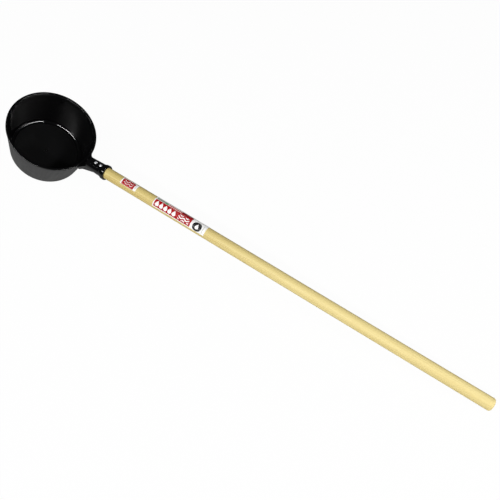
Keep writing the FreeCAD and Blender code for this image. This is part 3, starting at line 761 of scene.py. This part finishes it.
def printed(tree, group, vector, *values):
    """Place one printed shape with its sizes in the order that its group gives them."""
    return add(tree, "ShaderNodeGroup", dict(enumerate((vector, *values))), node_tree=group).outputs[0]


def print_material(name, layers):
    """Glossy printed film: white, with each layer's ink laid over the last."""
    made, tree, shader = new_material(name)
    flat = add(tree, "ShaderNodeUVMap", uv_map="print").outputs[0]
    scuffs = marks_on(tree, laid_along(tree, AXIS_START, AXIS_TILT), 0.12, 0.2)["Scuffs"]
    colour = mixed(tree, scuffs, (0.95, 0.95, 0.94, 1), (0.9, 0.89, 0.87, 1))
    for ink, shapes in layers:
        mask = None
        for group, *values in shapes:
            shape = printed(tree, group, flat, *values)
            mask = shape if mask is None else product(tree, mask, shape)
        worn = product(tree, mask, spread(tree, scuffs, 0.0, 1.0, 1.0, 0.94))
        colour = mixed(tree, worn, colour, (*ink, 1))
    bump = add(tree, "ShaderNodeBump", {"Strength": 0.1, "Distance": 0.0001, "Height": scuffs})
    roughness = spread(tree, scuffs, 0.0, 1.0, 0.34, 0.46)
    feed(tree, shader, Base_Color=colour, Roughness=roughness, Normal=bump.outputs[0])
    feed(tree, shader, Specular_IOR_Level=0.25)
    return made


# the inks, and each shape with its sizes in millimetres along the label and round it
PAPER = (0.95, 0.95, 0.94)
RED = (0.42, 0.004, 0.008)
DARK_RED = (0.27, 0.008, 0.01)
PINK = (0.72, 0.3, 0.26)
GREY_GREEN = (0.33, 0.38, 0.3)
GREEN = (0.06, 0.36, 0.14)
BLACK = (0.02, 0.02, 0.02)

small_inks = [
    (RED, [(panel_print, 17.6, 0.6, 15.0, 7.6, 0.8)]),
    (PAPER, [(panel_print, 17.6, 0.6, 11.0, 4.8, 1.5), (wave_print, 3.0, 4.8, 11.0, 1.3, 0.6)]),
    (GREY_GREEN, [(panel_print, 35.6, 0.2, 0.35, 5.2, 0.3)]),
]
small = sticker("small_sticker_film", start=200.48, length=39.2, low=-32, high=46)
small.data.materials.append(print_material("small_sticker", small_inks))

long_inks = [
    (RED, [(panel_print, 47.0, 11.3, 44.8, 8.1, 1.0)]),
    (PAPER, [(panel_print, 30.4, 11.4, 26.0, 6.2, 0.8), (drop_print, 4.4, 11.4, 10.4, 5.8)]),
    (PAPER, [(panel_print, 75.0, 11.4, 13.0, 5.4, 0.8), (wave_print, 11.4, 5.4, 13.0, 1.5, 1.2)]),
    (GREY_GREEN, [(panel_print, 16.0, 0.2, 13.0, 2.3, 0.6)]),
    (GREEN, [(panel_print, 26.5, 1.0, 4.4, 1.8, 1.6)]),
    (PINK, [(panel_print, 49.0, 0.5, 17.5, 2.1, 0.5)]),
    (RED, [(panel_print, 49.0, 0.5, 15.5, 0.5, 0.3)]),
    (DARK_RED, [(panel_print, 78.0, 0.0, 13.8, 3.4, 0.5)]),
    (BLACK, [(panel_print, 107.0, 10.6, 10.2, 9.8, 9.6)]),
    (PAPER, [(panel_print, 107.0, 10.6, 6.0, 7.4, 1.0), (drop_print, 101.0, 10.6, 12.0, 5.4)]),
    (GREY_GREEN, [(panel_print, 120.5, 9.0, 0.4, 8.0, 0.3)]),
]
long = sticker("long_sticker_film", start=285.18, length=126.8, low=-115, high=75)
long.data.materials.append(print_material("long_sticker", long_inks))
for piece, node in ((small, "small_label"), (long, "long_label")):
    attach(piece, "root")
    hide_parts(node)


# The table and the light.
# A plain white table top in a dim room, with a long soft light in front of the dipper, a shorter one
# beyond the handle's free end, and a faint low card below that. From the camera, the bowl shows the
# two lights only as thin arcs along the edge of its floor.
def white_table():
    """White to the camera and dim in mirrored rays, but brighter in front of the cup."""
    made, tree, shader = new_material("white_table")
    tree.nodes.remove(shader)
    path = add(tree, "ShaderNodeLightPath").outputs
    lit = add(tree, "ShaderNodeEmission", {"Color": (1, 1, 1, 1), "Strength": 1.0})
    spot = {0: add(tree, "ShaderNodeTexCoord").outputs["Object"], 1: (-0.3, -0.4, 0)}
    apart = add(tree, "ShaderNodeVectorMath", spot, operation="DISTANCE").outputs["Value"]
    near = spread(tree, apart, 0.2, 0.8, 1.0, 0.0)
    mirrored = mixed(tree, near, (0.04, 0.04, 0.04, 1), (0.3, 0.3, 0.3, 1))
    tone = mixed(tree, path["Is Glossy Ray"], (0.8, 0.8, 0.8, 1), mirrored)
    bare = add(tree, "ShaderNodeBsdfDiffuse", {"Color": tone})
    sheet = product(tree, path["Is Glossy Ray"], near, 0.25)
    seen = reckon(tree, "MAXIMUM", product(tree, path["Is Camera Ray"], 0.97), sheet)
    blend = add(tree, "ShaderNodeMixShader", {0: seen, 1: bare.outputs[0], 2: lit.outputs[0]})
    tree.links.new(blend.outputs[0], tree.nodes["Material Output"].inputs["Surface"])
    return made


table_mesh = bpy.data.meshes.new("table")
table_mesh.from_pydata([(-6, -6, 0), (6, -6, 0), (6, 6, 0), (-6, 6, 0)], [], [(0, 1, 2, 3)])
table = bpy.data.objects.new("table", table_mesh)
bpy.context.scene.collection.objects.link(table)
table.data.materials.append(white_table())

world = bpy.data.worlds.new("studio")
bpy.context.scene.world = world
world.use_nodes = True
room = world.node_tree
sky = room.nodes["Background"]
room_path = add(room, "ShaderNodeLightPath").outputs
dim = mixed(room, room_path["Is Glossy Ray"], (0.07, 0.07, 0.07, 1), (0.02, 0.02, 0.02, 1))
room.links.new(mixed(room, room_path["Is Camera Ray"], dim, (1, 1, 1, 1)), sky.inputs["Color"])

LIT_SPOT, LIGHT_DISTANCE = Vector((-0.45, 0, 0.1)), 2.4


def soft_light(name, azimuth, elevation, roll, width, depth, power):
    """A soft light aimed at the cup, placed by its bearing and height from there in degrees."""
    lamp = bpy.data.lights.new(name, "AREA")
    lamp.shape = "RECTANGLE"
    lamp.size, lamp.size_y, lamp.energy = width, depth, power
    made = bpy.data.objects.new(name, lamp)
    turn = Matrix.Rotation(math.radians(azimuth), 3, "Z")
    back = turn @ Matrix.Rotation(math.radians(-elevation), 3, "Y") @ Vector((1, 0, 0))
    facing = back.to_track_quat("Z", "Y").to_matrix() @ Matrix.Rotation(math.radians(roll), 3, "Z")
    made.matrix_world = Matrix.Translation(LIT_SPOT + back * LIGHT_DISTANCE) @ facing.to_4x4()
    bpy.context.scene.collection.objects.link(made)


soft_light("front_light", azimuth=-85, elevation=45, roll=-6, width=3.0, depth=0.2, power=54)
soft_light("right_light", azimuth=5, elevation=30, roll=0, width=1.5, depth=0.2, power=23)
soft_light("low_card", azimuth=0, elevation=16, roll=0, width=1.2, depth=0.2, power=0.4)
